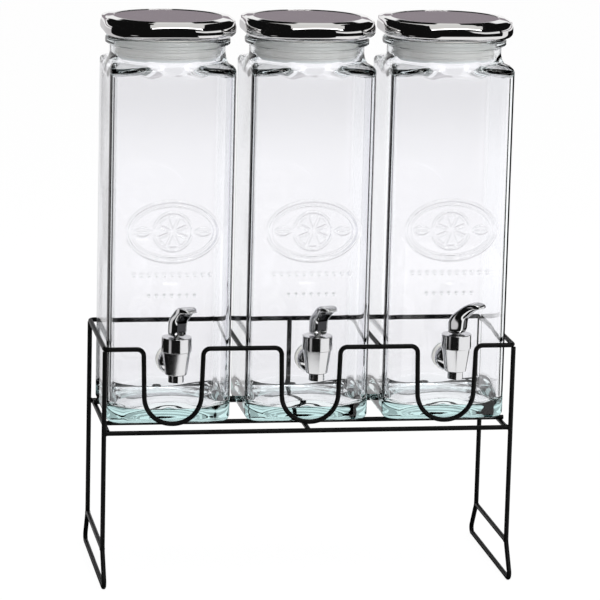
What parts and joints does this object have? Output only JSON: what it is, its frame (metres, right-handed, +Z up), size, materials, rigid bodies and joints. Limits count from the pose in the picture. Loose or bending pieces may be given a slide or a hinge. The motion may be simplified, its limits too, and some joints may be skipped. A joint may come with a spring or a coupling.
{
  "type": "beverage dispenser",
  "caption": "Wire stand holding a row of square glass drink jars, each with a lift-off metal lid and a spring-closed lever tap that hangs in front of the rail.",
  "frame": {"origin": "on the floor under the middle of the dispenser's box at rest", "axes": "+Z up, -Y towards the user, where the taps are, +X to the user's right"},
  "size_m": [0.395, 0.2133, 0.5332],
  "materials": {
    "stand_wire": "black powder coat, slight gloss",
    "jar_glass": "clear, faint green in the thick edges",
    "lid_metal": "mirror polish",
    "plug_plastic": "milky translucent",
    "silicone": "translucent white silicone",
    "tap_chrome": "bright plating",
    "valve_steel": "drawn stainless wire and rod",
    "nut_plastic": "moulded white"
  },
  "bodies": {
    "stand": {"top_rail": "stand_wire", "left_leg_frame": "stand_wire", "right_leg_frame": "stand_wire", "left_foot_tie": "stand_wire", "right_foot_tie": "stand_wire", "left_top_divider": "stand_wire", "right_top_divider": "stand_wire", "shelf_front_rail": "stand_wire", "shelf_rear_rail": "stand_wire", "shelf_left_rail": "stand_wire", "shelf_right_rail": "stand_wire", "front_support_wire": "stand_wire", "rear_support_wire": "stand_wire", "centre_spine": "stand_wire"},
    "left_jar_unit": {"left_jar": "jar_glass", "left_tap_body": "tap_chrome", "left_tap_bonnet": "tap_chrome", "left_outer_washer": "silicone", "left_inner_washer": "silicone", "left_shank_nut": "nut_plastic", "left_valve_spring": "valve_steel"},
    "left_lid": {"left_lid_shell": "lid_metal", "left_lid_plug": "plug_plastic", "left_lid_seal": "silicone"},
    "left_valve": {"left_valve_stem": "valve_steel", "left_valve_seat": "silicone", "left_lever_pin": "valve_steel"},
    "left_lever": {"left_tap_lever": "tap_chrome"},
    "middle_jar_unit": {"middle_jar": "jar_glass", "middle_tap_body": "tap_chrome", "middle_tap_bonnet": "tap_chrome", "middle_outer_washer": "silicone", "middle_inner_washer": "silicone", "middle_shank_nut": "nut_plastic", "middle_valve_spring": "valve_steel"},
    "middle_lid": {"middle_lid_shell": "lid_metal", "middle_lid_plug": "plug_plastic", "middle_lid_seal": "silicone"},
    "middle_valve": {"middle_valve_stem": "valve_steel", "middle_valve_seat": "silicone", "middle_lever_pin": "valve_steel"},
    "middle_lever": {"middle_tap_lever": "tap_chrome"},
    "right_jar_unit": {"right_jar": "jar_glass", "right_tap_body": "tap_chrome", "right_tap_bonnet": "tap_chrome", "right_outer_washer": "silicone", "right_inner_washer": "silicone", "right_shank_nut": "nut_plastic", "right_valve_spring": "valve_steel"},
    "right_lid": {"right_lid_shell": "lid_metal", "right_lid_plug": "plug_plastic", "right_lid_seal": "silicone"},
    "right_valve": {"right_valve_stem": "valve_steel", "right_valve_seat": "silicone", "right_lever_pin": "valve_steel"},
    "right_lever": {"right_tap_lever": "tap_chrome"}
  },
  "joints": [
    {"name": "left_jar_lift", "type": "slide", "parent": "stand", "child": "left_jar_unit", "axis": [0, 0, 1], "range_m": [0, 0.12]},
    {"name": "left_lid_lift", "type": "slide", "parent": "left_jar_unit", "child": "left_lid", "axis": [0, 0, 1], "range_m": [0, 0.06]},
    {"name": "left_valve_lift", "type": "slide", "parent": "left_jar_unit", "child": "left_valve", "axis": [0, 0, 1], "range_m": [0, 0.00524], "stiffness_N_per_m": 250, "springref_m": -0.005, "deforming": ["left_valve_spring"]},
    {"name": "left_lever_tilt", "type": "hinge", "parent": "left_valve", "child": "left_lever", "pos_m": [-0.1324, -0.07969, 0.25015], "axis": [0.9336, 0.3584, 0], "range_deg": [0, 50.5]},
    {"name": "middle_jar_lift", "type": "slide", "parent": "stand", "child": "middle_jar_unit", "axis": [0, 0, 1], "range_m": [0, 0.12]},
    {"name": "middle_lid_lift", "type": "slide", "parent": "middle_jar_unit", "child": "middle_lid", "axis": [0, 0, 1], "range_m": [0, 0.06]},
    {"name": "middle_valve_lift", "type": "slide", "parent": "middle_jar_unit", "child": "middle_valve", "axis": [0, 0, 1], "range_m": [0, 0.00524], "stiffness_N_per_m": 250, "springref_m": -0.005, "deforming": ["middle_valve_spring"]},
    {"name": "middle_lever_tilt", "type": "hinge", "parent": "middle_valve", "child": "middle_lever", "pos_m": [0, -0.07969, 0.25015], "axis": [0.9563, 0.2924, 0], "range_deg": [0, 50.5]},
    {"name": "right_jar_lift", "type": "slide", "parent": "stand", "child": "right_jar_unit", "axis": [0, 0, 1], "range_m": [0, 0.12]},
    {"name": "right_lid_lift", "type": "slide", "parent": "right_jar_unit", "child": "right_lid", "axis": [0, 0, 1], "range_m": [0, 0.06]},
    {"name": "right_valve_lift", "type": "slide", "parent": "right_jar_unit", "child": "right_valve", "axis": [0, 0, 1], "range_m": [0, 0.00524], "stiffness_N_per_m": 250, "springref_m": -0.005, "deforming": ["right_valve_spring"]},
    {"name": "right_lever_tilt", "type": "hinge", "parent": "right_valve", "child": "right_lever", "pos_m": [0.1324, -0.07969, 0.25015], "axis": [0.6157, 0.788, 0], "range_deg": [0, 50.5]}
  ],
  "couplings": [
    {"joint": "left_lever_tilt", "follows": "left_valve_lift", "rad_per_m": 166.67},
    {"joint": "middle_lever_tilt", "follows": "middle_valve_lift", "rad_per_m": 166.67},
    {"joint": "right_lever_tilt", "follows": "right_valve_lift", "rad_per_m": 166.67}
  ]
}
